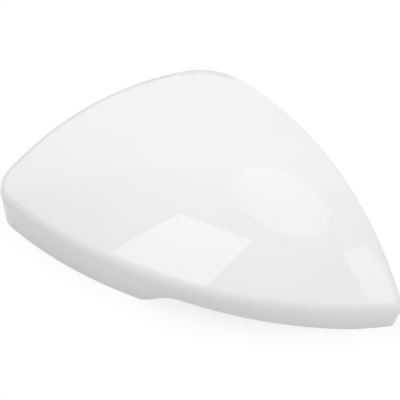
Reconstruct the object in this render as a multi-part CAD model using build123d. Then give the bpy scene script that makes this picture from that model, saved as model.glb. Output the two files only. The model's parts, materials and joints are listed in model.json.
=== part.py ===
from build123d import *
import math
import os

# Plan of the cover, millimetres: X runs along the long front side, +Z is up,
# and the open rim lies on the plane Z = 0.
span = 208.2                 # left tip to right corner, before the tip is rounded
front_bow = 25.9             # bow of the front side out of that line
back_end_x = 68.4            # where the back side meets the crest turn, along X
back_end_y = 95.9            # and how far it lies behind the front corners
back_bow = 6.5               # bow of the back side
crest_radius = 28.0          # round turn from the back side into the top corner
crest_sweep = 23.2           # degrees of that turn
side_bow = 8.8               # bow of the trimmed side, top corner to right corner
tip_radius = 14.0            # rounding of the left tip

# Crown of the cover, a doubly curved surface that is highest at one point
crown_height = 43.4          # highest point above the rim plane
crown_x = 91.5               # place of the highest point
crown_y = 56.0
crown_radius_along = 354.0   # curvature along X
crown_radius_across = 153.0  # curvature along Y

# Moulded shell
wall = 2.5                   # wall thickness
draft = 1.5                  # degrees the front and back walls lean in
side_draft = -10.8           # the same for the trimmed side; below zero it leans out towards its edge
shoulder_radius = 6.4        # roll from the crown into the front and back walls
edge_radius = 3.0            # crisp edge of the trimmed side and its two corners

# Step in the front rim, deeper on the left and running out towards the right corner
step_start = 84.8            # where the rim starts to rise, along X
step_run = 26.3              # length of the rise
step_height = 8.8            # rim height at the end of the rise
step_end_gap = 18.8          # from the right corner to where the rim is down again
step_bite = 0.8              # start of the rise below the rim plane, so that it cuts in

# Snap hooks moulded inside, each a tongue with a nose and two gussets to the wall
hook_width = 12.0
hook_thickness = 2.0
hook_gap = 5.0               # clear space between the wall and the tongue
hook_tip = 9.5               # lower end above the rim plane
hook_reach = 1.6             # nose standing out of the tongue
hook_lead = 3.0              # height of the sloped lead-in
hook_land = 1.0              # height of the blunt nose
hook_back = 0.8              # slope behind the nose
gusset_thickness = 1.6
gusset_foot = 14.0           # lower end of the gussets above the rim plane
front_hook_first = 46.0      # first hook of the front side, along X
front_hook_pitch = 64.0
front_hook_count = 3
back_hook_first = 0.34       # places along the back side, as parts of its length
back_hook_last = 0.80
side_hook_first = 0.28       # places along the trimmed side
side_hook_last = 0.70

# Locating pegs moulded inside, each a plain pin on a thicker boss with thin fins
peg_radius = 2.5
peg_tip = 3.0                # lower end above the rim plane
peg_lead = 0.6               # chamfer of the lower end
boss_radius = 3.5
boss_foot = 20.0             # where the pin meets the boss, above the rim plane
peg_spread = 76.0            # distance between the two pegs, along X
peg_offset = 12.0            # pegs in front of the highest point
fin_reach = 4.5              # fins stand out of the boss
fin_thickness = 1.4
fin_foot = 24.0              # lower end of the fins above the rim plane

# Worked out from the sizes above
overrun = 0.2 * span         # how far the untrimmed plan runs past the trimmed side
head_room = 0.25 * crown_height
foot_depth = crown_height    # how far the bodies are drawn below the rim plane, before the cut on it
lean = math.tan(math.radians(draft))
side_lean = math.tan(math.radians(side_draft))
# Degrees the crest turn goes on past its end, so that the leaning side cuts it everywhere
crest_overrun = 2 * math.degrees(crown_height * abs(side_lean) / crest_radius)
left = (0.0, 0.0)
right = (span, 0.0)
back_end = (back_end_x, back_end_y)


def bowed_circle(start, end, bow):
    """Centre and radius of the circle through two points, bowed out to the left of the way."""
    run_x = end[0] - start[0]
    run_y = end[1] - start[1]
    chord = math.hypot(run_x, run_y)
    radius = (chord * chord / 4 + bow * bow) / (2 * bow)
    mid_x = (start[0] + end[0]) / 2
    mid_y = (start[1] + end[1]) / 2
    sink = (radius - bow) / chord
    return (mid_x + run_y * sink, mid_y - run_x * sink), radius


def on_circle(centre, radius, angle):
    """Point of a circle at an angle in radians."""
    return (centre[0] + radius * math.cos(angle), centre[1] + radius * math.sin(angle))


def angle_of(centre, point):
    """Angle of a point seen from a centre, from 0 to a full turn."""
    return math.atan2(point[1] - centre[1], point[0] - centre[0]) % (2 * math.pi)


front_centre, front_radius = bowed_circle(right, left, front_bow)
back_centre, back_radius = bowed_circle(left, back_end, back_bow)
back_left_angle = angle_of(back_centre, left)
back_end_angle = angle_of(back_centre, back_end)
crest_centre = on_circle(back_centre, back_radius - crest_radius, back_end_angle)
crest_end_angle = back_end_angle - math.radians(crest_sweep)
crest_end = on_circle(crest_centre, crest_radius, crest_end_angle)
side_centre, side_radius = bowed_circle(crest_end, right, side_bow)
side_top_angle = angle_of(side_centre, crest_end)
side_right_angle = angle_of(side_centre, right)


def meeting_point(centre_a, radius_a, centre_b, radius_b, near):
    """Point shared by two circles, the one nearer to a given point."""
    gap_x = centre_b[0] - centre_a[0]
    gap_y = centre_b[1] - centre_a[1]
    gap = math.hypot(gap_x, gap_y)
    along = (radius_a**2 - radius_b**2 + gap**2) / (2 * gap)
    across = math.sqrt(radius_a**2 - along**2)
    points = []
    for way in (-1, 1):
        point_x = centre_a[0] + (gap_x * along - way * gap_y * across) / gap
        point_y = centre_a[1] + (gap_y * along + way * gap_x * across) / gap
        points.append((point_x, point_y))
    return min(points, key=lambda point: math.dist(point, near))


def leaf_plan(inset):
    """Plan of the cover before the side is trimmed, moved in by the inset, with its tip rounded."""
    front_r = front_radius - inset
    back_r = back_radius - inset
    crest_r = crest_radius - inset
    crest_far_angle = crest_end_angle - math.radians(crest_overrun)
    tip = meeting_point(front_centre, front_r, back_centre, back_r, left)
    front_far_angle = angle_of(front_centre, right) + overrun / 2 / front_radius
    front_mid_angle = (angle_of(front_centre, tip) + front_far_angle) / 2
    back_mid_angle = (angle_of(back_centre, tip) + back_end_angle) / 2
    crest_mid_angle = (back_end_angle + crest_far_angle) / 2
    front_far = on_circle(front_centre, front_r, front_far_angle)
    back_turn = on_circle(back_centre, back_r, back_end_angle)
    crest_turn = on_circle(crest_centre, crest_r, crest_far_angle)
    crest_far = (
        crest_turn[0] + overrun * math.sin(crest_far_angle),
        crest_turn[1] - overrun * math.cos(crest_far_angle),
    )
    sides = [
        ThreePointArc(tip, on_circle(front_centre, front_r, front_mid_angle), front_far),
        Line(front_far, crest_far),
        Line(crest_far, crest_turn),
        ThreePointArc(crest_turn, on_circle(crest_centre, crest_r, crest_mid_angle), back_turn),
        ThreePointArc(back_turn, on_circle(back_centre, back_r, back_mid_angle), tip),
    ]
    plan = make_face(sides)
    corner = plan.vertices().sort_by_distance(Vector(*tip))[0]
    return fillet(corner, tip_radius - inset)


def crown_block(inset):
    """Solid under the crown: an arc across, swung along X about an axis far below."""
    arc_radius = crown_radius_across - inset
    arc_centre = crown_height - crown_radius_across
    half_width = 1.1 * (crown_y + front_bow)
    shoulder = arc_centre + math.sqrt(arc_radius**2 - half_width**2)
    floor = -crown_height - foot_depth
    near = crown_y - half_width
    far = crown_y + half_width
    outline = [
        ThreePointArc((near, shoulder), (crown_y, arc_centre + arc_radius), (far, shoulder)),
        Line((far, shoulder), (far, floor)),
        Line((far, floor), (near, floor)),
        Line((near, floor), (near, shoulder)),
    ]
    across = Plane(origin=(crown_x, 0, 0), x_dir=(0, 1, 0), z_dir=(1, 0, 0))
    section = across * make_face(outline)
    axle = Axis((crown_x, 0, crown_height - crown_radius_along), (0, 1, 0))
    swing = math.degrees(math.asin(0.9 * span / (crown_radius_along - crown_height)))
    return revolve(section.rotate(axle, -swing), axle, 2 * swing)


def cover_body(inset, rim_edge_radius):
    """Solid body of the cover, all its faces moved in by the inset, cut off on the rim plane."""
    foot_inset = inset - foot_depth * lean
    height = foot_depth + crown_height + head_room
    prism = extrude(Pos(0, 0, -foot_depth) * leaf_plan(foot_inset), amount=height, taper=draft)
    block = (prism & crown_block(inset)).solids()[0]
    crown = block.faces().sort_by(Axis.Z)[-1]
    out_x = crest_end[1] - right[1]
    out_y = right[0] - crest_end[0]
    rolled = crown.edges().sort_by(lambda edge: (edge @ 0.5).X * out_x + (edge @ 0.5).Y * out_y)[:-1]
    block = fillet(rolled, shoulder_radius - inset)
    side_inset = inset / math.cos(math.radians(side_draft)) - foot_depth * side_lean
    disc = Pos(side_centre[0], side_centre[1], -foot_depth) * Circle(side_radius - side_inset)
    block = (block & extrude(disc, amount=height, taper=side_draft)).solids()[0]
    if rim_edge_radius > 0:
        block = fillet(trimmed_edges(block, inset), rim_edge_radius)
    return split(block, bisect_by=Plane.XY, keep=Keep.TOP)


def trimmed_edges(block, inset):
    """Edges round the trimmed side, all but the lowest."""
    side_mid = on_circle(side_centre, side_radius - inset, (side_top_angle + side_right_angle) / 2)
    low = Vector(side_mid[0], side_mid[1], wall)
    side = block.faces().sort_by_distance(low)[0]
    return side.edges().sort_by(Axis.Z)[1:]


def step_cutter():
    """What is taken off below the front rim, within the thickness of the front wall."""
    rise_end = step_start + step_run
    run_out = span - step_end_gap
    fall = step_height / (run_out - rise_end)
    beyond = span + overrun
    pull = 0.45 * step_run
    low = -step_height
    start = Vector(step_start, 0, -step_bite)
    end = Vector(rise_end, 0, step_height)
    rise = Bezier(
        start,
        start + Vector(pull, 0, 0),
        end + Vector(-pull, 0, fall * pull),
        end,
    )
    outline = [
        rise,
        Line(end, Vector(beyond, 0, step_height - fall * (beyond - rise_end))),
        Line(Vector(beyond, 0, step_height - fall * (beyond - rise_end)), Vector(beyond, 0, 3 * low)),
        Line(Vector(beyond, 0, 3 * low), Vector(step_start, 0, 3 * low)),
        Line(Vector(step_start, 0, 3 * low), start),
    ]
    block = extrude(make_face(outline), amount=span, dir=(0, -1, 0))
    block += extrude(make_face(outline), amount=span, dir=(0, 1, 0))
    keep = Pos(front_centre[0], front_centre[1], 3 * low) * Cylinder(
        front_radius - 2 * wall, 8 * step_height, align=(Align.CENTER, Align.CENTER, Align.MIN)
    )
    return block - keep


def at_wall(centre, radius, angle):
    """Frame on the inner face of a wall: X along the wall, Y into the cover."""
    spot = on_circle(centre, radius - wall, angle)
    along = Vector(-math.sin(angle), math.cos(angle), 0)
    return Plane(origin=(spot[0], spot[1], 0), x_dir=along, z_dir=(0, 0, 1))


def hook():
    """One snap hook, running up past the crown; the shell trims it."""
    outer = hook_gap
    inner = hook_gap + hook_thickness
    nose = inner + hook_reach
    lead = hook_tip + hook_lead
    land = lead + hook_land
    tongue = [
        (0, outer, crown_height),
        (0, outer, hook_tip),
        (0, inner, hook_tip),
        (0, nose, lead),
        (0, nose, land),
        (0, inner, land + hook_back),
        (0, inner, crown_height),
    ]
    piece = extrude(make_face(Polyline(*tongue, close=True)), amount=hook_width / 2, both=True)
    behind = wall + crown_height * abs(side_lean)
    depth = behind + hook_gap + hook_thickness / 2
    for way in (-1, 1):
        gusset = Box(
            gusset_thickness,
            depth,
            crown_height - gusset_foot,
            align=(Align.CENTER, Align.MIN, Align.MIN),
        )
        piece += Pos(way * (hook_width - gusset_thickness) / 2, -behind, gusset_foot) * gusset
    return piece


def peg():
    """One locating peg: a pin on a boss with four fins, running up past the crown."""
    upright = (Align.CENTER, Align.CENTER, Align.MIN)
    pin = Pos(0, 0, peg_tip) * Cylinder(peg_radius, boss_foot - peg_tip, align=upright)
    pin = chamfer(pin.edges().sort_by(Axis.Z)[0], peg_lead)
    boss = Pos(0, 0, boss_foot) * Cylinder(boss_radius, crown_height - boss_foot, align=upright)
    length = 2 * (boss_radius + fin_reach)
    fin = Pos(0, 0, fin_foot) * Box(length, fin_thickness, crown_height - fin_foot, align=upright)
    return pin + boss + fin + Rot(0, 0, 90) * fin


def inside_features():
    """All hooks and pegs in their places."""
    frames = []
    for number in range(front_hook_count):
        reach = front_hook_first + number * front_hook_pitch - front_centre[0]
        angle = 2 * math.pi - math.acos(reach / front_radius)
        frames.append(at_wall(front_centre, front_radius, angle))
    for part in (back_hook_first, back_hook_last):
        angle = back_left_angle + part * (back_end_angle - back_left_angle)
        frames.append(at_wall(back_centre, back_radius, angle))
    side_sweep = side_right_angle - side_top_angle
    if side_sweep > math.pi:
        side_sweep -= 2 * math.pi
    for part in (side_hook_first, side_hook_last):
        frames.append(at_wall(side_centre, side_radius, side_top_angle + part * side_sweep))
    pieces = [frame * hook() for frame in frames]
    for way in (-1, 1):
        pieces.append(Pos(crown_x + way * peg_spread / 2, crown_y - peg_offset, 0) * peg())
    return pieces


outer = cover_body(0.0, edge_radius)
inner = cover_body(wall, 0.0)
root = cover_body(wall / 2, 0.0)
cover = outer - inner - step_cutter()
for piece in inside_features():
    cover += piece & root
cover = cover.solids()[0]
box = cover.bounding_box()
cover = Pos(-box.center().X, -box.center().Y, -box.min.Z) * cover
cover.label = "mirror_cover"

os.makedirs("parts", exist_ok=True)
export_step(cover, "parts/mirror_cover.step")
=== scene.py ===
"""White gloss wing mirror cover: the painted shell with its snap hooks and pegs, and a small studio."""

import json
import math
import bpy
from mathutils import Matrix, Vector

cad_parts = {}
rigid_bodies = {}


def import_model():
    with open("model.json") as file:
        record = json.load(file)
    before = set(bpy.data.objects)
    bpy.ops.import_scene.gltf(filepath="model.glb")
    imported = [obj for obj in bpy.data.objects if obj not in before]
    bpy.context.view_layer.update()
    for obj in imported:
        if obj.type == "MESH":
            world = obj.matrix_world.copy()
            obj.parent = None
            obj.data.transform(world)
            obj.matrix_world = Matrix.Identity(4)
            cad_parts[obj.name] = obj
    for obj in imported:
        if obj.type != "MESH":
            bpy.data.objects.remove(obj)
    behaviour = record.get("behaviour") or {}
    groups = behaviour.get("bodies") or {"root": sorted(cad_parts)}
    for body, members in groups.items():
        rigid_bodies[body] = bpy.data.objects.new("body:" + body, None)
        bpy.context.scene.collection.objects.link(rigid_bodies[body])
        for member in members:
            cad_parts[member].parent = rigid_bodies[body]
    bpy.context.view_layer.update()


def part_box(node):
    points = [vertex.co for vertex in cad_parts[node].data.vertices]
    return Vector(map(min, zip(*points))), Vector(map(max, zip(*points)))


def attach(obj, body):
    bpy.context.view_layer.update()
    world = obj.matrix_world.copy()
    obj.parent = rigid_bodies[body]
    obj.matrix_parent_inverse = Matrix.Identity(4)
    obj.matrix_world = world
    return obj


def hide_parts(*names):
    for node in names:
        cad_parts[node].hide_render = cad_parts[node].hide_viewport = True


bl_info = {
    "name": "Wing Mirror Cover",
    "version": (1, 0, 0),
    "blender": (4, 5, 0),
    "location": "View3D > Sidebar > Mirror Cover",
    "description": "Dresses the solid of a wing mirror cover in gloss paint and sets it in a studio",
    "category": "Object",
}

import bmesh
import bpy
import numpy as np
from bpy.props import FloatProperty, FloatVectorProperty, IntProperty, PointerProperty
from mathutils import Euler, Vector

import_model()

NODE = "mirror_cover"
PIECE = "cover_shell"
BODY = "root"
PAINTED, MOULDED = 0, 1
MM = 0.001

# Photograph's width in pixels, and the camera's sensor width in mm
PHOTO_WIDTH = 400
SENSOR_WIDTH = 36.0

# Points along the rim's step, for spacing the ribs and round a gusset's shoulder; angle of a sharp edge
STEP_POINTS = 241
SPACING_POINTS = 2000
SHOULDER_POINTS = 9
SHARP_DEGREES = 35.0

# Pull of the step's curve, as a part of its run
STEP_PULL = 0.45

# Points nearer than this are one point, and edges shorter than this go, in m
SAME_POINT, SHORT_EDGE = 2e-6, 1e-6

# Rounds of the searches for points on the skins, and their trial, largest and least turns in radians
RIM_ROUNDS, ROLL_ROUNDS, EDGE_ROUNDS, TRIM_ROUNDS = 6, 12, 16, 40
TRIAL_TURN, MOST_TURN, LEAST_TURN = 1e-5, 0.04, 1e-9

# Scales and detail of the noises for tone and for fine waves, and the range that most of a noise lies in
PAINT_SCALES = (22.0, 700.0)
PLASTIC_SCALES = (30.0, 1600.0)
TONE_DETAIL, WAVE_DETAIL = 2.0, 3.0
NOISE_LOW, NOISE_HIGH = 0.3, 0.7

# How far the fine waves change the roughness, and the paint's gloss under and in its clear coat
PAINT_SWING, PLASTIC_SWING = 0.04, 0.08
PAINT_SPECULAR, COAT_IOR = 0.3, 1.5

# Paint mist inside: from which waves to which it grows, and its least part
MIST_LOW, MIST_HIGH, MIST_LEAST = 0.35, 0.6, 0.4

# Part of its reach over which the painted shade on the back wall stays full
BACK_FULL = 0.6

# Colour sockets of the Mix node, by number, as their names repeat
MIX_FIRST, MIX_SECOND, MIX_RESULT = 6, 7, 2

# Floor: half its width in m, and how far it lies under the rim plane in mm
FLOOR_REACH = 4.0
FLOOR_GAP = 0.1

# Softboxes over the cover: name, shape, middle in mm, turn in degrees, size in mm, brightness
SOFTBOXES = (
    ("top_softbox", "RECTANGLE", (-111, -267, 893), (-21.8, 52.2, -113.4), (556, 345), 1.7),
    ("back_softbox", "ELLIPSE", (156, 223, 886), (-14.3, -34.7, -57.5), (576, 372), 0.94),
    ("right_softbox", "RECTANGLE", (459, -18, 671), (75.2, 32.3, 71.4), (154, 420), 1.2),
    ("back_panel", "RECTANGLE", (-645, 1179, 524), (-20.0, 0.0, 25.0), (3600, 2200), 0.40),
)

# Softboxes that fade out: the bright spot's place across and along the face, from 0 to 1, and how far
# from it the light starts and ends to fade
FADING = {"back_softbox": (0.55, 0.50, 0.40, 0.54)}

# Soft lights from far away: name, turn from +Y and height in degrees, spread in degrees, tint, strength
FAR_LIGHTS = (
    ("back_key", -50.0, 65.0, 50.0, (0.985, 0.995, 1.0), 0.31),
    ("front_fill", 140.0, 45.0, 50.0, (1.0, 0.985, 0.965), 0.40),
)


def length(name, description, millimetres):
    """A size in metres, written here in millimetres."""
    return FloatProperty(
        name=name, description=description, default=millimetres * MM, unit="LENGTH", precision=5
    )


def angle(name, description, degrees):
    """An angle, written here in degrees."""
    return FloatProperty(
        name=name, description=description, default=math.radians(degrees), subtype="ANGLE"
    )


def share(name, description, value):
    """A part of a whole, from 0 to 1."""
    return FloatProperty(
        name=name, description=description, default=value, min=0.0, max=1.0, subtype="FACTOR"
    )


def colour(name, description, value):
    """A colour in linear light."""
    return FloatVectorProperty(
        name=name, description=description, default=value, size=3, min=0.0, max=1.0, subtype="COLOR"
    )


class CoverForm(bpy.types.PropertyGroup):
    """Sizes of the moulded shell, the same as the solid's."""

    span: length("Span", "Left tip to right corner, before the tip is rounded", 208.2)
    front_bow: length("Front bow", "Bow of the front side", 25.9)
    back_end_x: length("Back end X", "Where the back side meets the crest turn, along X", 68.4)
    back_end_y: length("Back end Y", "Where the back side meets the crest turn, along Y", 95.9)
    back_bow: length("Back bow", "Bow of the back side", 6.5)
    crest_radius: length("Crest radius", "Round turn from the back side into the top corner", 28.0)
    crest_sweep: angle("Crest sweep", "Angle of the crest turn", 23.2)
    side_bow: length("Side bow", "Bow of the trimmed side", 8.8)
    tip_radius: length("Tip radius", "Rounding of the left tip", 14.0)
    crown_height: length("Crown height", "Highest point above the rim plane", 43.4)
    crown_x: length("Crown X", "Place of the highest point along X", 91.5)
    crown_y: length("Crown Y", "Place of the highest point along Y", 56.0)
    crown_radius_along: length("Crown radius along", "Curvature of the crown along X", 354.0)
    crown_radius_across: length("Crown radius across", "Curvature of the crown along Y", 153.0)
    wall: length("Wall", "Wall thickness", 2.5)
    draft: angle("Draft", "How far the front and back walls lean in", 1.5)
    side_draft: angle("Side draft", "How far the trimmed side leans in, or out below zero", -10.8)
    shoulder_radius: length("Shoulder radius", "Roll from the crown into the walls", 6.4)
    edge_radius: length("Edge radius", "Crisp edge of the trimmed side", 3.0)
    step_start: length("Step start", "Where the front rim starts to rise, along X", 84.8)
    step_run: length("Step run", "Length of the rise", 26.3)
    step_height: length("Step height", "Rim height at the end of the rise", 8.8)
    step_end_gap: length("Step end gap", "Right corner to where the rim is down again", 18.8)
    step_bite: length("Step bite", "Start of the rise below the rim plane", 0.8)
    ribs: IntProperty(name="Ribs", description="Mesh ribs from the trimmed side to the tip", default=132)
    crown_cells: IntProperty(name="Crown cells", description="Mesh cells along a rib's crown", default=108)
    wall_cells: IntProperty(name="Wall cells", description="Mesh cells up a wall", default=9)
    roll_cells: IntProperty(name="Roll cells", description="Mesh cells round the shoulder", default=16)
    edge_cells: IntProperty(name="Edge cells", description="Mesh cells round the crisp edge", default=7)


class HookForm(bpy.types.PropertyGroup):
    """Sizes of the snap hooks inside."""

    width: length("Width", "Width of a hook", 12.0)
    thickness: length("Thickness", "Thickness of the tongue", 2.0)
    gap: length("Gap", "Clear space between the wall and the tongue", 5.0)
    tip: length("Tip", "Lower end above the rim plane", 9.5)
    reach: length("Reach", "Nose standing out of the tongue", 1.6)
    lead: length("Lead", "Height of the sloped lead-in", 3.0)
    land: length("Land", "Height of the blunt nose", 1.0)
    back: length("Back", "Slope behind the nose", 0.8)
    gusset: length("Gusset", "Thickness of the two gussets", 1.6)
    gusset_foot: length("Gusset foot", "Lower end of the gussets", 14.0)
    front_first: length("Front first", "First hook of the front side, along X", 46.0)
    front_pitch: length("Front pitch", "Distance of the front hooks", 64.0)
    front_count: IntProperty(name="Front count", description="Hooks of the front side", default=3)
    back_first: share("Back first", "First place along the back side", 0.34)
    back_last: share("Back last", "Last place along the back side", 0.80)
    side_first: share("Side first", "First place along the trimmed side", 0.28)
    side_last: share("Side last", "Last place along the trimmed side", 0.70)


class PegForm(bpy.types.PropertyGroup):
    """Sizes of the locating pegs inside."""

    radius: length("Radius", "Radius of the pin", 2.5)
    tip: length("Tip", "Lower end above the rim plane", 3.0)
    lead: length("Lead", "Chamfer of the lower end", 0.6)
    boss_radius: length("Boss radius", "Radius of the boss above the pin", 3.5)
    boss_foot: length("Boss foot", "Where the pin meets the boss", 20.0)
    spread: length("Spread", "Distance between the pegs", 76.0)
    offset: length("Offset", "Pegs in front of the highest point", 12.0)
    fin_reach: length("Fin reach", "Fins stand out of the boss", 4.5)
    fin_thickness: length("Fin thickness", "Thickness of the fins", 1.4)
    fin_foot: length("Fin foot", "Lower end of the fins", 24.0)
    round_cells: IntProperty(name="Round cells", description="Mesh cells round a peg", default=48)


class CoverFinish(bpy.types.PropertyGroup):
    """Colours and gloss of the cover."""

    paint: colour("Paint", "Colour of the painted outside", (0.83, 0.846, 0.834))
    paint_shade: colour("Paint shade", "Slightly deeper tone of the paint", (0.815, 0.831, 0.82))
    # Painted shade: the next colour is a deeper tone painted low on the walls, in place of the shade near
    # the floor; the three sizes after it set how high it reaches, higher and deeper towards the left tip
    rim_painted_shade: colour("Paint at the rim", "Tone of the thinner paint along the rim", (0.745, 0.759, 0.755))
    rim_reach: length("Rim reach", "How far up the walls the paint is thinner", 11.0)
    tip_reach: length("Tip reach", "How far up the wall it is thinner at the left tip", 24.0)
    tip_way: length("Tip way", "How far from the left tip the rim's paint gets thinner", 90.0)
    # Painted shade: the next colour is a deeper tone painted over the back wall, its shoulder and the
    # crest, in place of the shade along the back outline and at the crest; the three sizes after it set
    # how far it comes in. It also tones the painted shade low on the walls at the left tip
    back_painted_shade: colour("Paint at the back", "Tone of the thinnest paint", (0.68, 0.694, 0.694))
    back_reach: length("Back reach", "How far it comes in over the back shoulder, at the tip", 5.2)
    back_end_reach: length("Back end reach", "How far it comes in at the crest's end of the back", 8.4)
    crest_reach: length("Crest reach", "How far it comes in at the crest itself", 11.0)
    paint_roughness: share("Paint roughness", "Roughness of the colour coat", 0.32)
    coat_roughness: share("Coat roughness", "Roughness of the clear coat", 0.02)
    peel: length("Orange peel", "Height of the fine waves in the paint", 0.003)
    plastic: colour("Plastic", "Colour of the bare moulded inside", (0.66, 0.665, 0.64))
    plastic_shade: colour("Plastic shade", "Deeper tone of the bare plastic", (0.61, 0.615, 0.59))
    plastic_roughness: share("Plastic roughness", "Roughness of the bare plastic", 0.48)
    grain: length("Grain", "Height of the mould's fine grain", 0.02)
    overspray: length("Overspray", "How far paint mist reaches up the inside", 11.0)


class CoverStudio(bpy.types.PropertyGroup):
    """Camera, lamps and floor."""

    azimuth: angle("Azimuth", "Camera's turn round the cover", 18.97)
    elevation: angle("Elevation", "Camera's height angle", 50.0)
    distance: length("Distance", "Camera to the point it looks at", 439.6)
    target: FloatVectorProperty(
        name="Target",
        description="Point that the camera looks at",
        default=(-3.87 * MM, -12.44 * MM, 20.0 * MM),
        subtype="TRANSLATION",
    )
    view_pixels: FloatProperty(
        name="View pixels", description="Focal length in pixels of the photograph", default=898.6
    )
    room: colour("Room", "Colour of the surrounding room", (0.8, 0.8, 0.8))
    ambient: share("Ambient", "Light of the surrounding room", 0.25)
    floor: colour("Floor", "Colour of the floor", (0.70, 0.70, 0.70))
    floor_white: share("Floor white", "Part of the floor's white that no shadow takes away", 0.80)


PROPERTY_GROUPS = {
    "cover_form": CoverForm,
    "cover_hooks": HookForm,
    "cover_pegs": PegForm,
    "cover_finish": CoverFinish,
    "cover_studio": CoverStudio,
}


def polar(turn):
    """Unit vectors in plan at the given angles."""
    return np.stack([np.cos(turn), np.sin(turn)], axis=-1)


def angle_of(vector):
    """Angle of a plan vector, from 0 to a full turn."""
    return np.arctan2(vector[..., 1], vector[..., 0]) % (2 * math.pi)


def unit(vectors):
    """Vectors brought to length 1."""
    return vectors / np.linalg.norm(vectors, axis=-1, keepdims=True)


def arc_between(start, end, part):
    """Unit vectors on the way from start to end, round the arc between them."""
    part = np.asarray(part)[..., None]
    swing = np.arccos(np.clip((start * end).sum(-1, keepdims=True), -1.0, 1.0))
    swing = np.maximum(swing, LEAST_TURN)
    return (np.sin((1 - part) * swing) * start + np.sin(part * swing) * end) / np.sin(swing)


def bowed_circle(start, end, bow):
    """Centre and radius of the circle through two points, bowed out to the left of the way."""
    run = end - start
    chord = np.linalg.norm(run)
    radius = (chord * chord / 4 + bow * bow) / (2 * bow)
    return (start + end) / 2 + np.array([run[1], -run[0]]) * (radius - bow) / chord, radius


def meeting_point(centre_a, radius_a, centre_b, radius_b, near):
    """Point shared by two circles, the one nearer to a given point."""
    gap = centre_b - centre_a
    distance = np.linalg.norm(gap)
    along = (radius_a**2 - radius_b**2 + distance**2) / (2 * distance)
    across = math.sqrt(radius_a**2 - along**2)
    square = np.array([-gap[1], gap[0]])
    points = [centre_a + (gap * along + way * square * across) / distance for way in (-1, 1)]
    return min(points, key=lambda point: np.linalg.norm(point - near))


class Outline:
    """Plan of the cover: arcs from the crest round the tip to the right corner, and the trimmed side."""

    def __init__(self, form):
        left = np.zeros(2)
        right = np.array([form.span, 0.0])
        back_end = np.array([form.back_end_x, form.back_end_y])
        self.front, self.front_radius = bowed_circle(right, left, form.front_bow)
        self.back, self.back_radius = bowed_circle(left, back_end, form.back_bow)
        self.back_left_angle = angle_of(left - self.back)
        self.back_end_angle = angle_of(back_end - self.back)
        crest = self.back + (self.back_radius - form.crest_radius) * polar(self.back_end_angle)
        crest_end_angle = self.back_end_angle - form.crest_sweep
        crest_end = crest + form.crest_radius * polar(crest_end_angle)
        self.side, self.side_radius = bowed_circle(crest_end, right, form.side_bow)
        self.side_top_angle = angle_of(crest_end - self.side)
        self.side_right_angle = angle_of(right - self.side)
        if self.side_right_angle - self.side_top_angle > math.pi:
            self.side_right_angle -= 2 * math.pi
        tip = meeting_point(
            self.front,
            self.front_radius - form.tip_radius,
            self.back,
            self.back_radius - form.tip_radius,
            left,
        )
        self.centres = np.array([crest, self.back, tip, self.front])
        self.radii = np.array([form.crest_radius, self.back_radius, form.tip_radius, self.front_radius])
        self.turns = np.array(
            [
                crest_end_angle,
                self.back_end_angle,
                angle_of(tip - self.back),
                angle_of(tip - self.front),
                angle_of(right - self.front),
            ]
        )
        self.tip_turn = (self.turns[2] + self.turns[3]) / 2
        overrun = 2 * form.crown_height * abs(math.tan(form.side_draft)) / form.crest_radius
        self.straight_turn = crest_end_angle - overrun

    def outward(self, turn):
        """Outward directions in plan; past the crest's arc the wall runs on straight."""
        return polar(np.maximum(turn, self.straight_turn))

    def locate(self, turn):
        """Centre and radius of the arc whose outward direction has the given angle."""
        number = np.searchsorted(self.turns[1:-1], turn)
        run = np.maximum(self.straight_turn - turn, 0.0) * self.radii[0]
        way = np.array([math.sin(self.straight_turn), -math.cos(self.straight_turn)])
        return self.centres[number] + run[..., None] * way, self.radii[number]

    def even_shares(self, end, count):
        """Parts of the way from the tip to an end, about evenly spaced along the rim, from 1 to 0."""
        fine = np.linspace(end, self.tip_turn, SPACING_POINTS)
        spacing = self.locate((fine[1:] + fine[:-1]) / 2)[1] + self.radii[2]
        reach = np.concatenate([[0.0], np.cumsum(spacing)])
        turns = np.interp(np.linspace(0.0, reach[-1], count + 1), reach, fine)
        return (turns - self.tip_turn) / (end - self.tip_turn)


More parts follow.
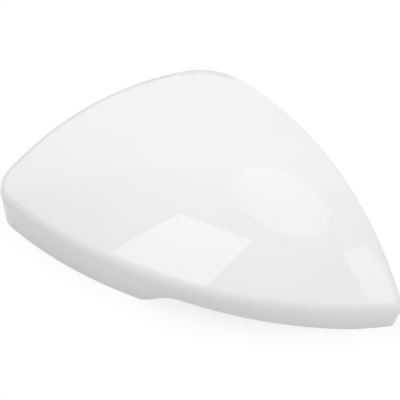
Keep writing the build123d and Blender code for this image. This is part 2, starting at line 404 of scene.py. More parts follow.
class Skin:
    """One skin of the shell: the outside, or the inside with all faces moved in by the wall."""

    def __init__(self, form, outline, inset, edge_radius):
        self.form = form
        self.outline = outline
        self.inset = inset
        self.edge_radius = edge_radius
        self.roll_radius = form.shoulder_radius - inset
        self.lean = math.tan(form.draft)
        self.side_lean = math.tan(form.side_draft)
        self.side_radius = outline.side_radius - inset / math.cos(form.side_draft)
        self.rise = step_profile(form)

    def crown_axle(self):
        """Middle of the crown's circle along X, and that circle's tube radius at this place."""
        form = self.form
        middle = np.array([form.crown_x, form.crown_y, form.crown_height - form.crown_radius_along])
        return middle, form.crown_radius_along - form.crown_radius_across

    def crown_level(self, plan, inset):
        """Height of the crown over plan points."""
        middle, ring = self.crown_axle()
        tube = self.form.crown_radius_across - inset
        across = np.sqrt(tube**2 - (plan[..., 1] - middle[1]) ** 2)
        return middle[2] + np.sqrt((ring + across) ** 2 - (plan[..., 0] - middle[0]) ** 2)

    def crown_normal(self, points):
        """Outward direction of the crown at points on it or below it."""
        middle, ring = self.crown_axle()
        offset = points - middle
        spoke = np.hypot(offset[..., 0], offset[..., 2])
        lift = (spoke - ring) / spoke
        return unit(np.stack([offset[..., 0] * lift, offset[..., 1], offset[..., 2] * lift], axis=-1))

    def leaning(self, outward, draft):
        """Outward direction of a drafted wall from its direction in plan."""
        up = np.full(outward.shape[:-1] + (1,), math.sin(draft))
        return np.concatenate([outward * math.cos(draft), up], axis=-1)

    def roll_centres(self, turn):
        """Centres of the ball that rolls the shoulder, at the given turns of the rim."""
        centre, radius = self.outline.locate(turn)
        outward = self.outline.outward(turn)
        slant = self.roll_radius / math.cos(self.form.draft)
        level = np.full(turn.shape, self.form.crown_height / 2)
        for _ in range(ROLL_ROUNDS):
            reach = radius - self.inset - slant - level * self.lean
            plan = centre + reach[..., None] * outward
            level = self.crown_level(plan, self.inset + self.roll_radius)
        return np.concatenate([plan, level[..., None]], axis=-1)

    def rim_level(self, turn):
        """Height of the rim, which steps up in the front side."""
        centre, radius = self.outline.locate(turn)
        level = np.zeros(turn.shape)
        on_front = turn > self.outline.turns[3]
        for _ in range(RIM_ROUNDS):
            along = centre[..., 0] + (radius - self.inset - level * self.lean) * np.cos(turn)
            level = np.where(on_front, np.maximum(np.interp(along, *self.rise), 0.0), 0.0)
        return level

    def rolled_side(self, turn, row):
        """Points and directions of the walls: rows 0 to 1 climb the wall, 1 to 2 go round the shoulder."""
        centre, radius = self.outline.locate(turn)
        outward = self.outline.outward(turn)
        ball = self.roll_centres(turn)
        wall_normal = self.leaning(outward, self.form.draft)
        normal = arc_between(wall_normal, self.crown_normal(ball), np.clip(row - 1, 0, 1))
        rolled = ball + self.roll_radius * normal
        rim = self.rim_level(turn)
        top = ball[..., 2] + self.roll_radius * math.sin(self.form.draft)
        level = rim + np.clip(row, 0, 1) * (top - rim)
        reach = radius - self.inset - level * self.lean
        wall = np.concatenate([centre + reach[..., None] * outward, level[..., None]], axis=-1)
        return np.where((row < 1)[..., None], wall, rolled), normal

    def side_reach(self, level):
        """Radius of the trimmed side at a height, less the ball that rounds its edge."""
        slant = self.edge_radius / math.cos(self.form.side_draft)
        return self.side_radius - slant - level * self.side_lean

    def trimmed_turn(self, row, start):
        """Turns at which the rows of the walls come to the trimmed side's edge."""

        def miss(turn):
            point, normal = self.rolled_side(turn, row)
            ball = point - self.edge_radius * normal
            reach = np.linalg.norm(ball[..., :2] - self.outline.side, axis=-1)
            return reach - self.side_reach(ball[..., 2])

        turn = np.full(row.shape, start)
        for _ in range(TRIM_ROUNDS):
            gap = miss(turn)
            step = gap * TRIAL_TURN / (miss(turn + TRIAL_TURN) - gap)
            turn = turn - np.clip(step, -MOST_TURN, MOST_TURN)
        return turn

    def edge_balls(self, swing):
        """Centres of the ball that rounds the crown's edge, at angles about the side's centre."""
        level = np.full(swing.shape, self.form.crown_height)
        for _ in range(EDGE_ROUNDS):
            plan = self.outline.side + self.side_reach(level)[..., None] * polar(swing)
            level = self.crown_level(plan, self.inset + self.edge_radius)
        return np.concatenate([plan, level[..., None]], axis=-1)

    def grids(self):
        """Grids of points that cover this skin: the ribs, the round edge and the trimmed side."""
        form = self.form
        outline = self.outline
        climb = np.linspace(0.0, 1.0, form.wall_cells + 1)
        roll = np.linspace(1.0, 2.0, form.roll_cells + 1)[1:]
        rows = np.concatenate([climb, roll])
        halves = []
        for end in (outline.turns[0], outline.turns[-1]):
            trim = self.trimmed_turn(rows, end)
            shares = outline.even_shares(trim[0], form.ribs)
            turn = outline.tip_turn + shares[:, None] * (trim - outline.tip_turn)
            points, normals = self.rolled_side(turn, np.broadcast_to(rows, turn.shape))
            halves.append((points, normals, shares))
        (back, back_normals, shares), (front, front_normals, _) = halves
        ends = []
        for points, normals in ((back, back_normals), (front, front_normals)):
            ball = points[0, -1] - self.edge_radius * normals[0, -1]
            ends.append(angle_of(ball[:2] - outline.side))
        if ends[1] - ends[0] > math.pi:
            ends[1] -= 2 * math.pi
        part = np.linspace(0.0, 1.0, form.crown_cells + 1)[1:-1]
        edge_ball = self.edge_balls(ends[0] + part * (ends[1] - ends[0]))
        edge_normal = self.crown_normal(edge_ball)
        edge_plan = (edge_ball + self.edge_radius * edge_normal)[:, :2]
        start = back[:, -1:, :2]
        stop = front[:, -1:, :2]
        straight = start + part[:, None] * (stop - start)
        bow = edge_plan - straight[0]
        plan = straight + bow * (shares**2)[:, None, None]
        crown = np.concatenate([plan, self.crown_level(plan, self.inset)[..., None]], axis=-1)
        ribs = np.concatenate([back, crown, front[:, ::-1]], axis=1)
        wall_ball = [half[0][0] - self.edge_radius * half[1][0] for half in halves]
        balls = np.concatenate([wall_ball[0], edge_ball, wall_ball[1][::-1]])
        first = np.concatenate([back_normals[0], edge_normal, front_normals[0, ::-1]])
        last = self.leaning(unit(balls[:, :2] - outline.side), form.side_draft)
        parts = np.linspace(0.0, 1.0, form.edge_cells + 1)[:, None]
        parts = np.broadcast_to(parts, (len(parts), len(balls)))
        edge = balls + self.edge_radius * arc_between(first, last, parts)
        edge[:, 0, 2] = ribs[0, 0, 2]
        edge[:, -1, 2] = ribs[0, -1, 2]
        side = self.side_grid(edge[-1], len(rows))
        edge[-1, [0, -1]] = side[0, [0, -1]]
        return {"ribs": ribs, "edge": edge, "side": side}

    def side_grid(self, border, rows):
        """Grid over the trimmed side within its border, which runs up, along the crown and down."""
        outline = self.outline
        swing = angle_of(border[:, :2] - outline.side)
        swing = np.where(swing - swing[0] > math.pi, swing - 2 * math.pi, swing)
        flat = np.stack([swing, border[:, 2]], axis=-1)
        left = flat[:rows, None]
        right = flat[::-1][:rows, None]
        top = flat[None, rows - 1 : len(flat) - rows + 1]
        across = np.linspace(0.0, 1.0, top.shape[1])[None, :, None]
        up = np.linspace(0.0, 1.0, rows)[:, None, None]
        bottom = left[:1] + across * (right[:1] - left[:1])
        lifted = (1 - up) * bottom + up * top
        spread = (1 - across) * left + across * right
        corners = (1 - up) * bottom + up * (left[-1:] + across * (right[-1:] - left[-1:]))
        flat_grid = lifted + spread - corners
        level = flat_grid[..., 1]
        reach = self.side_radius - level * self.side_lean
        plan = outline.side + reach[..., None] * polar(flat_grid[..., 0])
        return np.concatenate([plan, level[..., None]], axis=-1)


def step_profile(form):
    """Places along X and heights of the step in the front rim: a curved rise, then a straight fall."""
    rise_end = form.step_start + form.step_run
    run_out = form.span - form.step_end_gap
    fall = form.step_height / (run_out - rise_end)
    pull = STEP_PULL * form.step_run
    knots_x = [form.step_start, form.step_start + pull, rise_end - pull, rise_end]
    knots_z = [-form.step_bite, -form.step_bite, form.step_height + fall * pull, form.step_height]
    t = np.linspace(0.0, 1.0, STEP_POINTS)
    weights = np.stack([(1 - t) ** 3, 3 * t * (1 - t) ** 2, 3 * t**2 * (1 - t), t**3])
    along = np.concatenate([knots_x @ weights, [run_out]])
    height = np.concatenate([knots_z @ weights, [0.0]])
    return along, height


def add_grid(mesh, grid, material):
    """Adds a grid of points to a bmesh as quads."""
    verts = [[mesh.verts.new(point) for point in line] for line in grid]
    for lower, upper in zip(verts[:-1], verts[1:]):
        for number in range(len(lower) - 1):
            face = mesh.faces.new((lower[number], lower[number + 1], upper[number + 1], upper[number]))
            face.material_index = material


def close_up(mesh):
    """Joins the faces of a bmesh to one closed body, with all of them turned outwards."""
    bmesh.ops.remove_doubles(mesh, verts=mesh.verts, dist=SAME_POINT)
    bmesh.ops.dissolve_degenerate(mesh, edges=mesh.edges, dist=SHORT_EDGE)
    bmesh.ops.recalc_face_normals(mesh, faces=mesh.faces)
    return mesh


def rim_grids(outer, inner):
    """Flat faces of the rim, between the outer skin and the inner one."""
    yield np.stack([outer["ribs"][:, 0], inner["ribs"][:, 0]])
    yield np.stack([outer["ribs"][:, -1], inner["ribs"][:, -1]])
    yield np.stack([outer["side"][0], inner["side"][0]])
    for end in (0, -1):
        corner = outer["edge"][:, end]
        yield np.stack([corner, np.broadcast_to(inner["ribs"][0, end], corner.shape)])


def shell_mesh(form):
    """Closed mesh of the shell, in the frame that its sizes are given in."""
    outline = Outline(form)
    outer = Skin(form, outline, 0.0, form.edge_radius).grids()
    inner = Skin(form, outline, form.wall, 0.0).grids()
    mesh = bmesh.new()
    for name in ("ribs", "edge", "side"):
        add_grid(mesh, outer[name], PAINTED)
    for name in ("ribs", "side"):
        add_grid(mesh, inner[name], MOULDED)
    for grid in rim_grids(outer, inner):
        add_grid(mesh, grid, MOULDED)
    return close_up(mesh)


def set_inputs(node, values):
    """Sets input sockets by name."""
    for name, value in values.items():
        node.inputs[name].default_value = value


def drift_group():
    """Node group: slow drift of tone and fine waves over a moulded or painted surface."""
    group = bpy.data.node_groups.get("surface_drift")
    if group:
        return group
    group = bpy.data.node_groups.new("surface_drift", "ShaderNodeTree")
    for name in ("Tone Scale", "Wave Scale"):
        group.interface.new_socket(name, in_out="INPUT", socket_type="NodeSocketFloat")
    for name in ("Tone", "Waves"):
        group.interface.new_socket(name, in_out="OUTPUT", socket_type="NodeSocketFloat")
    inputs = group.nodes.new("NodeGroupInput")
    outputs = group.nodes.new("NodeGroupOutput")
    coords = group.nodes.new("ShaderNodeTexCoord")
    for result, scale, detail in (
        ("Tone", "Tone Scale", TONE_DETAIL),
        ("Waves", "Wave Scale", WAVE_DETAIL),
    ):
        noise = group.nodes.new("ShaderNodeTexNoise")
        noise.inputs["Detail"].default_value = detail
        group.links.new(coords.outputs["Object"], noise.inputs["Vector"])
        group.links.new(inputs.outputs[scale], noise.inputs["Scale"])
        group.links.new(noise.outputs["Fac"], outputs.inputs[result])
    return group


def new_material(name):
    """Material with a bare Principled shader."""
    material = bpy.data.materials.new(name)
    material.use_nodes = True
    return material, material.node_tree, material.node_tree.nodes["Principled BSDF"]


def add_mix(tree, part, first, second):
    """Colour that goes from the first to the second with a part from 0 to 1."""
    mix = tree.nodes.new("ShaderNodeMix")
    mix.data_type = "RGBA"
    tree.links.new(part, mix.inputs["Factor"])
    for socket, value in ((mix.inputs[MIX_FIRST], first), (mix.inputs[MIX_SECOND], second)):
        if isinstance(value, bpy.types.NodeSocket):
            tree.links.new(value, socket)
        else:
            socket.default_value = (*value, 1.0)
    return mix.outputs[MIX_RESULT]


def add_range(tree, value, from_low, from_high, to_low, to_high, curve="LINEAR"):
    """Value mapped from one range to another, and held within it."""
    remap = tree.nodes.new("ShaderNodeMapRange")
    remap.interpolation_type = curve
    set_inputs(
        remap,
        {"From Min": from_low, "From Max": from_high, "To Min": to_low, "To Max": to_high},
    )
    tree.links.new(value, remap.inputs["Value"])
    return remap.outputs["Result"]


def add_drift(tree, shader, scales, rough, swing, height):
    """Fine waves in a shader's roughness and normal; gives the drift of tone and the waves."""
    drift = tree.nodes.new("ShaderNodeGroup")
    drift.node_tree = drift_group()
    set_inputs(drift, {"Tone Scale": scales[0], "Wave Scale": scales[1]})
    tone = add_range(tree, drift.outputs["Tone"], NOISE_LOW, NOISE_HIGH, 0.0, 1.0)
    waves = drift.outputs["Waves"]
    gloss = add_range(tree, waves, NOISE_LOW, NOISE_HIGH, rough - swing, rough + swing)
    tree.links.new(gloss, shader.inputs["Roughness"])
    bump = tree.nodes.new("ShaderNodeBump")
    bump.inputs["Distance"].default_value = height
    tree.links.new(waves, bump.inputs["Height"])
    tree.links.new(bump.outputs["Normal"], shader.inputs["Normal"])
    return tone, waves


def add_math(tree, operation, first, second):
    """Two values put together."""
    node = tree.nodes.new("ShaderNodeMath")
    node.operation = operation
    tree.links.new(first, node.inputs[0])
    tree.links.new(second, node.inputs[1])
    return node.outputs["Value"]


def add_place(tree):
    """X, Y and Z of a point on the cover, in the frame that its sizes are given in."""
    coords = tree.nodes.new("ShaderNodeTexCoord")
    split = tree.nodes.new("ShaderNodeSeparateXYZ")
    tree.links.new(coords.outputs["Object"], split.inputs["Vector"])
    return split.outputs


def add_rim_height(tree, form):
    """Height of a point above the rim, which has a step in its front side."""
    spot = add_place(tree)
    rise_end = form.step_start + form.step_run
    run_out = form.span - form.step_end_gap
    rise = add_range(tree, spot["X"], form.step_start, rise_end, 0.0, 1.0, "SMOOTHSTEP")
    fall = add_range(tree, spot["X"], rise_end, run_out, form.step_height, 0.0)
    front = add_range(tree, spot["Y"], form.wall, 2 * form.wall, 1.0, 0.0)
    step = add_math(tree, "MULTIPLY", add_math(tree, "MULTIPLY", rise, fall), front)
    return add_math(tree, "SUBTRACT", spot["Z"], step)


def add_depth(tree, centre, radius, most):
    """How far a point lies inside a circle of the plan, up to a most."""
    coords = tree.nodes.new("ShaderNodeTexCoord")
    plan = tree.nodes.new("ShaderNodeVectorMath")
    plan.operation = "MULTIPLY"
    plan.inputs[1].default_value = (1.0, 1.0, 0.0)
    tree.links.new(coords.outputs["Object"], plan.inputs[0])
    gap = tree.nodes.new("ShaderNodeVectorMath")
    gap.operation = "DISTANCE"
    gap.inputs[1].default_value = (*centre, 0.0)
    tree.links.new(plan.outputs["Vector"], gap.inputs[0])
    return add_range(tree, gap.outputs["Value"], radius - most, radius, most, 0.0)


def add_back_shade_mask(tree, finish, form):
    """Mask of the painted shade: 1 on the back wall and round the crest, fading out over the shoulder."""
    outline = Outline(form)
    spot = add_place(tree)
    depth = add_depth(tree, outline.back, outline.back_radius, form.span)
    reach = add_range(tree, spot["X"], 0.0, form.back_end_x, finish.back_reach, finish.back_end_reach)
    part = add_math(tree, "DIVIDE", depth, reach)
    wall = add_range(tree, part, BACK_FULL, 1.0, 1.0, 0.0, "SMOOTHSTEP")
    full = finish.crest_reach
    half = full / 2
    depth = add_depth(tree, outline.centres[0], form.crest_radius, form.crest_radius)
    side = form.back_end_x + form.crest_radius
    line = form.back_end_y - half
    edge = form.crown_height - half
    crest = add_range(tree, depth, half, full, 1.0, 0.0, "SMOOTHSTEP")
    for value, low, high, start in (
        (spot["X"], side - half, side + half, 1.0),
        (spot["Y"], line - half, line, 0.0),
        (spot["Z"], edge - full, edge, 0.0),
    ):
        fade = add_range(tree, value, low, high, start, 1.0 - start, "SMOOTHSTEP")
        crest = add_math(tree, "MULTIPLY", crest, fade)
    return add_math(tree, "MAXIMUM", wall, crest)


def paint_material(finish, form):
    """White gloss paint: a drift of tone, painted shade low on the walls and over the back and the crest,
    orange peel, clear coat.
    """
    material, tree, shader = new_material("white_gloss_paint")
    tone, _ = add_drift(tree, shader, PAINT_SCALES, finish.paint_roughness, PAINT_SWING, finish.peel)
    body = add_mix(tree, tone, finish.paint_shade, finish.paint)
    # Painted shade low on the walls: the tone deepens towards the rim, reaching higher and deeper near the
    # left tip
    along = add_place(tree)["X"]
    reach = add_range(tree, along, 0.0, finish.tip_way, finish.tip_reach, finish.rim_reach)
    height = add_math(tree, "DIVIDE", add_rim_height(tree, form), reach)
    above = add_range(tree, height, 0.0, 1.0, 0.0, 1.0)
    past_tip = add_range(tree, along, 0.0, finish.tip_way, 0.0, 1.0)
    rim = add_mix(tree, past_tip, finish.back_painted_shade, finish.rim_painted_shade)
    body = add_mix(tree, above, rim, body)
    # Painted shade over the back wall, its shoulder and the crest
    back = add_back_shade_mask(tree, finish, form)
    tree.links.new(add_mix(tree, back, body, finish.back_painted_shade), shader.inputs["Base Color"])
    set_inputs(
        shader,
        {
            "Specular IOR Level": PAINT_SPECULAR,
            "Coat Weight": 1.0,
            "Coat Roughness": finish.coat_roughness,
            "Coat IOR": COAT_IOR,
        },
    )
    return material


def moulded_material(finish):
    """Bare moulded inside: fine grain, a drift of tone, and paint mist that fades up from the rim."""
    material, tree, shader = new_material("bare_moulded_plastic")
    rough = finish.plastic_roughness
    tone, waves = add_drift(tree, shader, PLASTIC_SCALES, rough, PLASTIC_SWING, finish.grain)
    bare = add_mix(tree, tone, finish.plastic_shade, finish.plastic)
    height = add_range(tree, add_place(tree)["Z"], 0.0, finish.overspray, 1.0, 0.0)
    specks = add_range(tree, waves, MIST_LOW, MIST_HIGH, MIST_LEAST, 1.0)
    mist = add_math(tree, "MULTIPLY", height, specks)
    tree.links.new(add_mix(tree, mist, bare, finish.paint), shader.inputs["Base Color"])
    return material


def add_seen(tree):
    """1 for rays from the camera, off gloss or through glass, and 0 for rays that light the cover."""
    path = tree.nodes.new("ShaderNodeLightPath")
    total = path.outputs["Is Camera Ray"]
    for name in ("Is Glossy Ray", "Is Transmission Ray"):
        total = add_math(tree, "MAXIMUM", total, path.outputs[name])
    return total


def floor_material(studio):
    """Pale floor that shows white to the camera and still takes the cover's shadow."""
    material = bpy.data.materials.new("pale_floor")
    material.use_nodes = True
    tree = material.node_tree
    tree.nodes.clear()
    plain = tree.nodes.new("ShaderNodeBsdfDiffuse")
    plain.inputs["Color"].default_value = (*studio.floor, 1.0)
    white = tree.nodes.new("ShaderNodeEmission")
    white.inputs["Strength"].default_value = studio.floor_white
    lit = tree.nodes.new("ShaderNodeBsdfDiffuse")
    lit.inputs["Color"].default_value = (*[1.0 - studio.floor_white] * 3, 1.0)
    both = tree.nodes.new("ShaderNodeAddShader")
    choice = tree.nodes.new("ShaderNodeMixShader")
    output = tree.nodes.new("ShaderNodeOutputMaterial")
    tree.links.new(white.outputs["Emission"], both.inputs[0])
    tree.links.new(lit.outputs["BSDF"], both.inputs[1])
    tree.links.new(add_seen(tree), choice.inputs["Fac"])
    tree.links.new(plain.outputs["BSDF"], choice.inputs[1])
    tree.links.new(both.outputs["Shader"], choice.inputs[2])
    tree.links.new(choice.outputs["Shader"], output.inputs["Surface"])
    return material


def studio_world(studio):
    """Pale room: at its full level to look at, softer as a light."""
    world = bpy.data.worlds.new("pale_room")
    world.use_nodes = True
    tree = world.node_tree
    tree.nodes.clear()
    background = tree.nodes.new("ShaderNodeBackground")
    background.inputs["Color"].default_value = (*studio.room, 1.0)
    output = tree.nodes.new("ShaderNodeOutputWorld")
    strength = add_range(tree, add_seen(tree), 0.0, 1.0, studio.ambient, 1.0)
    tree.links.new(strength, background.inputs["Strength"])
    tree.links.new(background.outputs["Background"], output.inputs["Surface"])
    return world


def solid_centre():
    """Middle of the solid's box."""
    low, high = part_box(NODE)
    return (low + high) / 2


def mesh_centre(mesh):
    """Middle of a bmesh's box."""
    points = np.array([vert.co for vert in mesh.verts])
    return Vector((points.min(axis=0) + points.max(axis=0)) / 2)


def new_piece(name, mesh, materials):
    """Object made of a bmesh, with its material slots."""
    data = bpy.data.meshes.new(name)
    mesh.to_mesh(data)
    mesh.free()
    for material in materials:
        data.materials.append(material)
    piece = bpy.data.objects.new(name, data)
    bpy.context.scene.collection.objects.link(piece)
    return piece


def fuse(piece, bodies):
    """Fuses closed bodies with a piece, as one moulding."""
    tools = bpy.data.collections.new("moulded_in")
    bpy.context.scene.collection.children.link(tools)
    for body in bodies:
        tool = new_piece("moulded_body", body, piece.data.materials)
        tool.location = piece.location
        tools.objects.link(tool)
    union = piece.modifiers.new("moulding", "BOOLEAN")
    union.operation = "UNION"
    union.solver = "MANIFOLD"
    union.operand_type = "COLLECTION"
    union.collection = tools
    graph = bpy.context.evaluated_depsgraph_get()
    fused = bpy.data.meshes.new_from_object(piece.evaluated_get(graph))
    if len(fused.polygons) <= len(piece.data.polygons):
        raise RuntimeError("the inside features didn't fuse with the shell")
    piece.modifiers.remove(union)
    old = piece.data
    name = old.name
    piece.data = fused
    bpy.data.meshes.remove(old)
    fused.name = name
    for tool in list(tools.objects):
        bpy.data.meshes.remove(tool.data)
    bpy.data.collections.remove(tools)
    drop_spare_points(fused)
    soften(fused)


def drop_spare_points(data):
    """Takes out what fusing leaves: points that lie together, and points with only two edges."""
    mesh = bmesh.new()
    mesh.from_mesh(data)
    bmesh.ops.remove_doubles(mesh, verts=mesh.verts, dist=SAME_POINT)
    spare = [vert for vert in mesh.verts if len(vert.link_edges) <= 2]
    bmesh.ops.dissolve_verts(mesh, verts=spare)
    mesh.to_mesh(data)
    mesh.free()


def soften(data):
    """Smooth shading, with the rim, the hooks' corners and other sharp edges kept sharp."""
    data.shade_smooth()
    data.set_sharp_from_angle(angle=math.radians(SHARP_DEGREES))


class Place:
    """A place inside the cover, with its own X and Y in plan."""

    def __init__(self, spot, along, inward, root):
        self.spot = spot
        self.along = along
        self.inward = inward
        self.root = root

    def point(self, x, y, level):
        """Point in the cover; a level of None lies in the middle of the crown's wall."""
        plan = self.spot + x * self.along + y * self.inward
        if level is None:
            level = self.root.crown_level(plan, self.root.inset)
        return (plan[0], plan[1], level)


class WallPlace(Place):
    """A place on the inner face of a wall: X along the wall, Y into the cover."""

    def __init__(self, form, centre, radius, turn, root, rolled=True):
        outward = polar(turn)
        self.turn = turn
        self.radius = radius - form.wall
        self.rolled = rolled
        self.lean = root.lean if rolled else root.side_lean
        along = np.array([-outward[1], outward[0]])
        super().__init__(centre + self.radius * outward, along, -outward, root)

    def shoulder(self, x):
        """Depths and levels round the middle of the shoulder's wall, at a distance along the wall."""
        if not self.rolled:
            return []
        rows = np.linspace(1.0, 2.0, SHOULDER_POINTS)
        turns = np.full(SHOULDER_POINTS, self.turn + x / self.radius)
        points, _ = self.root.rolled_side(turns, rows)
        return list(zip((points[:, :2] - self.spot) @ self.inward, points[:, 2]))


def prism(place, outline, low, high):
    """Closed prism: an outline of depths and levels, drawn out along a place's X."""
    mesh = bmesh.new()
    first, last = ([mesh.verts.new(place.point(x, y, level)) for y, level in outline] for x in (low, high))
    sides = zip(first[1:] + first[:1], first, last, last[1:] + last[:1])
    for corners in (first, last[::-1], *sides):
        mesh.faces.new(corners).material_index = MOULDED
    return close_up(mesh)


def hook_bodies(form, hooks, place):
    """One snap hook: a tongue with a nose, and two gussets to the wall."""
    inner = hooks.gap + hooks.thickness
    nose = inner + hooks.reach
    lead = hooks.tip + hooks.lead
    land = lead + hooks.land
    tongue = [
        (hooks.gap, None),
        (hooks.gap, hooks.tip),
        (inner, hooks.tip),
        (nose, lead),
        (nose, land),
        (inner, land + hooks.back),
        (inner, None),
    ]
    yield prism(place, tongue, -hooks.width / 2, hooks.width / 2)
    foot_depth = hooks.gusset_foot * place.lean - form.wall / 2
    middle = hooks.gap + hooks.thickness / 2
    for way in (-1, 1):
        across = way * (hooks.width - hooks.gusset) / 2
        top = [(depth, level) for depth, level in place.shoulder(across) if depth < middle]
        if not top:
            top = [(place.point(across, 0, None)[2] * place.lean - form.wall / 2, None)]
        gusset = [(middle, hooks.gusset_foot), (foot_depth, hooks.gusset_foot), *top, (middle, None)]
        yield prism(place, gusset, across - hooks.gusset / 2, across + hooks.gusset / 2)


def hook_places(form, hooks, outline, root):
    """Places of all the hooks, along the front side, the back side and the trimmed side."""
    for number in range(hooks.front_count):
        reach = hooks.front_first + number * hooks.front_pitch - outline.front[0]
        turn = 2 * math.pi - math.acos(reach / outline.front_radius)
        yield WallPlace(form, outline.front, outline.front_radius, turn, root)
    for part in (hooks.back_first, hooks.back_last):
        turn = outline.back_left_angle + part * (outline.back_end_angle - outline.back_left_angle)
        yield WallPlace(form, outline.back, outline.back_radius, turn, root)
    for part in (hooks.side_first, hooks.side_last):
        turn = outline.side_top_angle + part * (outline.side_right_angle - outline.side_top_angle)
        yield WallPlace(form, outline.side, outline.side_radius, turn, root, rolled=False)


def peg_bodies(pegs, middle, root):
    """One locating peg: a pin on a boss with four fins, up into the crown's wall."""
    turns = np.linspace(0.0, 2 * math.pi, pegs.round_cells + 1)
    rings = [
        (0.0, pegs.tip),
        (pegs.radius - pegs.lead, pegs.tip),
        (pegs.radius, pegs.tip + pegs.lead),
        (pegs.radius, pegs.boss_foot),
        (pegs.boss_radius, pegs.boss_foot),
        (pegs.boss_radius, None),
        (0.0, None),
    ]
    grid = []
    for radius, level in rings:
        plan = middle + radius * polar(turns)
        levels = root.crown_level(plan, root.inset) if level is None else np.full(len(turns), level)
        grid.append(np.concatenate([plan, levels[:, None]], axis=1))
    mesh = bmesh.new()
    add_grid(mesh, grid, MOULDED)
    yield close_up(mesh)
    reach = pegs.boss_radius + pegs.fin_reach
    half = pegs.fin_thickness / 2
    fin = [(-half, pegs.fin_foot), (half, pegs.fin_foot), (half, None), (-half, None)]
    for turn in (0.0, math.pi / 2):
        place = Place(middle, polar(turn), polar(turn + math.pi / 2), root)
        yield prism(place, fin, -reach, reach)


class COVER_OT_shell(bpy.types.Operator):
    """Builds the painted shell of the cover in place of the solid"""

    bl_idname = "mirror_cover.shell"
    bl_label = "Shell"

    def execute(self, context):
        scene = context.scene
        form = scene.cover_form
        mesh = shell_mesh(form)
        shift = solid_centre() - mesh_centre(mesh)
        shift.z = 0.0
        finish = scene.cover_finish
        piece = new_piece(PIECE, mesh, [paint_material(finish, form), moulded_material(finish)])
        piece.location = shift
        soften(piece.data)
        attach(piece, BODY)
        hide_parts(NODE)
        return {"FINISHED"}


class COVER_OT_hooks(bpy.types.Operator):
    """Moulds the snap hooks into the shell"""

    bl_idname = "mirror_cover.hooks"
    bl_label = "Snap Hooks"

    def execute(self, context):
        scene = context.scene
        form = scene.cover_form
        hooks = scene.cover_hooks
        outline = Outline(form)
        root = Skin(form, outline, form.wall / 2, 0.0)
        bodies = []
        for spot in hook_places(form, hooks, outline, root):
            bodies.extend(hook_bodies(form, hooks, spot))
        fuse(bpy.data.objects[PIECE], bodies)
        return {"FINISHED"}


class COVER_OT_pegs(bpy.types.Operator):
    """Moulds the two locating pegs into the shell"""

    bl_idname = "mirror_cover.pegs"
    bl_label = "Locating Pegs"

    def execute(self, context):
        scene = context.scene
        form = scene.cover_form
        pegs = scene.cover_pegs
        root = Skin(form, Outline(form), form.wall / 2, 0.0)
        bodies = []
        for way in (-1, 1):
            middle = np.array([form.crown_x + way * pegs.spread / 2, form.crown_y - pegs.offset])
            bodies.extend(peg_bodies(pegs, middle, root))
        fuse(bpy.data.objects[PIECE], bodies)
        return {"FINISHED"}


def fade_lamp(lamp, across, along, start, end):
    """Lets the light of an area lamp fade out round a bright spot on its face."""
    lamp.use_nodes = True
    tree = lamp.node_tree
    face = tree.nodes.new("ShaderNodeNewGeometry")
    spot = tree.nodes.new("ShaderNodeVectorMath")
    spot.operation = "DISTANCE"
    spot.inputs[1].default_value = (across, along, 0.0)
    tree.links.new(face.outputs["Parametric"], spot.inputs[0])
    lit = add_range(tree, spot.outputs["Value"], start, end, 1.0, 0.0, "SMOOTHSTEP")
    tree.links.new(lit, tree.nodes["Emission"].inputs["Strength"])


def add_softbox(name, shape, middle, turn, size, brightness):
    """Area lamp that looks as bright as a white surface times its brightness."""
    lamp = bpy.data.lights.new(name, "AREA")
    lamp.shape = shape
    lamp.size = size[0] * MM
    lamp.size_y = size[1] * MM
    face = lamp.size * lamp.size_y * (math.pi / 4 if shape == "ELLIPSE" else 1.0)
    lamp.energy = brightness * math.pi * face
    if name in FADING:
        fade_lamp(lamp, *FADING[name])
    softbox = bpy.data.objects.new(name, lamp)
    softbox.location = Vector(middle) * MM
    softbox.rotation_euler = Euler([math.radians(value) for value in turn])
    bpy.context.scene.collection.objects.link(softbox)


def add_far_light(name, turn, height, spread, tint, strength):
    """Broad light from far away that shades the cover and doesn't mirror in its gloss."""
    lamp = bpy.data.lights.new(name, "SUN")
    lamp.angle = math.radians(spread)
    lamp.color = tint
    lamp.energy = strength * math.pi
    light = bpy.data.objects.new(name, lamp)
    level = math.cos(math.radians(height))
    source = Vector(
        (
            math.sin(math.radians(turn)) * level,
            math.cos(math.radians(turn)) * level,
            math.sin(math.radians(height)),
        )
    )
    light.rotation_euler = source.to_track_quat("Z", "Y").to_euler()
    light.visible_glossy = False
    bpy.context.scene.collection.objects.link(light)


def add_floor(studio):
    """Wide floor, a hair under the rim plane."""
    mesh = bmesh.new()
    bmesh.ops.create_grid(mesh, x_segments=1, y_segments=1, size=FLOOR_REACH)
    floor = new_piece("floor", mesh, [floor_material(studio)])
    floor.location.z = -FLOOR_GAP * MM


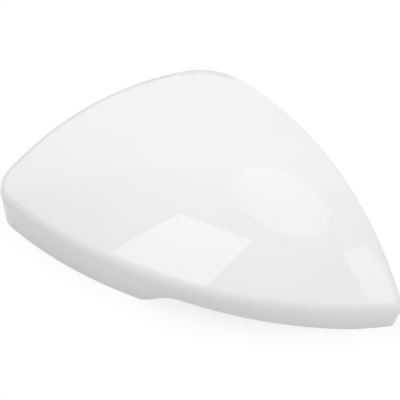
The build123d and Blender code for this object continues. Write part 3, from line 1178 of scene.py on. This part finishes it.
def add_camera(studio):
    """Camera at the photograph's angle, looking at the cover."""
    data = bpy.data.cameras.new("camera")
    data.sensor_width = SENSOR_WIDTH
    data.lens = studio.view_pixels * SENSOR_WIDTH / PHOTO_WIDTH
    camera = bpy.data.objects.new("camera", data)
    level = math.cos(studio.elevation)
    back = Vector(
        (
            math.sin(studio.azimuth) * level,
            -math.cos(studio.azimuth) * level,
            math.sin(studio.elevation),
        )
    )
    camera.location = Vector(studio.target) + studio.distance * back
    camera.rotation_euler = back.to_track_quat("Z", "Y").to_euler()
    bpy.context.scene.collection.objects.link(camera)
    bpy.context.scene.camera = camera


class COVER_OT_studio(bpy.types.Operator):
    """Sets up the floor, the pale room, the lamps and the camera"""

    bl_idname = "mirror_cover.studio"
    bl_label = "Studio"

    def execute(self, context):
        scene = context.scene
        studio = scene.cover_studio
        add_floor(studio)
        for softbox in SOFTBOXES:
            add_softbox(*softbox)
        for far_light in FAR_LIGHTS:
            add_far_light(*far_light)
        scene.world = studio_world(studio)
        add_camera(studio)
        scene.view_settings.view_transform = "Standard"
        return {"FINISHED"}


class COVER_PT_panel(bpy.types.Panel):
    """Lists the steps that build the cover"""

    bl_idname = "COVER_PT_panel"
    bl_label = "Mirror Cover"
    bl_space_type = "VIEW_3D"
    bl_region_type = "UI"
    bl_category = "Mirror Cover"

    def draw(self, context):
        for step in STEPS:
            self.layout.operator(step.bl_idname)
        for name in PROPERTY_GROUPS:
            group = getattr(context.scene, name)
            box = self.layout.box()
            box.label(text=type(group).__doc__)
            for value in type(group).__annotations__:
                box.prop(group, value)


STEPS = (COVER_OT_shell, COVER_OT_hooks, COVER_OT_pegs, COVER_OT_studio)
CLASSES = (*PROPERTY_GROUPS.values(), *STEPS, COVER_PT_panel)


def register():
    """Registers the classes and hangs the sizes on the scene."""
    for item in CLASSES:
        bpy.utils.register_class(item)
    for name, group in PROPERTY_GROUPS.items():
        setattr(bpy.types.Scene, name, PointerProperty(type=group))


def unregister():
    """Takes the sizes and the classes away again."""
    for name in PROPERTY_GROUPS:
        delattr(bpy.types.Scene, name)
    for item in reversed(CLASSES):
        bpy.utils.unregister_class(item)


def main():
    """Builds the cover and its studio."""
    register()
    bpy.ops.mirror_cover.shell()
    bpy.ops.mirror_cover.hooks()
    bpy.ops.mirror_cover.pegs()
    bpy.ops.mirror_cover.studio()


if __name__ == "__main__":
    main()
